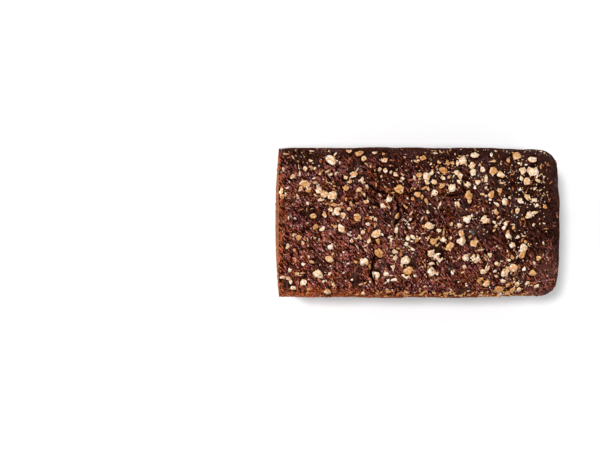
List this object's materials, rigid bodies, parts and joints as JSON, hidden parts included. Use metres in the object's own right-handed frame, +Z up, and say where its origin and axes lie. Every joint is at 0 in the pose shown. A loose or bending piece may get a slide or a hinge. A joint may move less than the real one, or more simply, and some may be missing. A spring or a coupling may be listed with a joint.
{
  "type": "rye bread loaf",
  "caption": "Dark rye loaf baked in a tin, cut square across one end and rounded at the other, with rolled oats baked onto its cracked top crust.",
  "frame": {"origin": "middle of the flat bottom that the loaf rests on", "axes": "+X along the loaf from the cut end to the rounded end, +Y across it, +Z up"},
  "size_m": [0.209, 0.111, 0.0935],
  "materials": {
    "crust": "dark brown baked crust, slightly moist, rough and cracked",
    "crumb": "dense brown crumb with fine pores, matte",
    "oats": "dry rolled oats, cream to toasted gold, matte",
    "seeds": "cut seeds and grains in the crumb, satin"
  },
  "bodies": {
    "root": {"loaf": "crust"}
  },
  "joints": []
}
